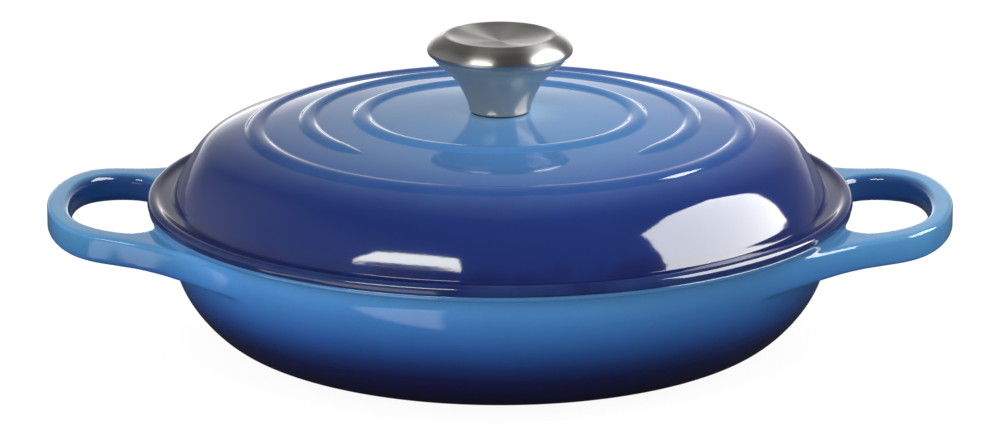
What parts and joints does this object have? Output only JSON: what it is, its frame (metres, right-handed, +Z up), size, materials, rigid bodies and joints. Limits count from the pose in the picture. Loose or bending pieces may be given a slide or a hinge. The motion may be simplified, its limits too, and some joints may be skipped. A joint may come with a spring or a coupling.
{
  "type": "braiser",
  "caption": "Shallow round enamelled cast-iron braising pan with two loop handles and a domed, ringed lid that lifts off by a steel knob.",
  "frame": {"origin": "centre of the pan's resting face, on the surface it stands on", "axes": "+Z up; +X and -X through the two loop handles; -Y is the front, where the lid's middle ring is open"},
  "size_m": [0.3578, 0.2786, 0.1245],
  "materials": {
    "pan_enamel": "glossy vitreous enamel over cast iron, light blue at the rim and handles shading to near-black navy at the base; pale sand inside",
    "lid_enamel": "glossy vitreous enamel over cast iron, lighter blue in the middle shading to deep navy at the edge; pale sand inside",
    "knob_steel": "fine circular brushing, satin to semi-polished",
    "plain_steel": "plain stainless steel",
    "gasket": "matt heat-proof ring"
  },
  "bodies": {
    "pan": {"pan_body": "pan_enamel"},
    "lid": {"lid_body": "lid_enamel", "knob_cap": "knob_steel", "knob_stem": "knob_steel", "knob_insert": "plain_steel", "knob_gasket": "gasket", "knob_washer": "plain_steel", "knob_screw": "plain_steel"}
  },
  "joints": [
    {"name": "lid_lift", "type": "slide", "parent": "pan", "child": "lid", "axis": [0, 0, 1], "range_m": [0, 0.15]}
  ]
}
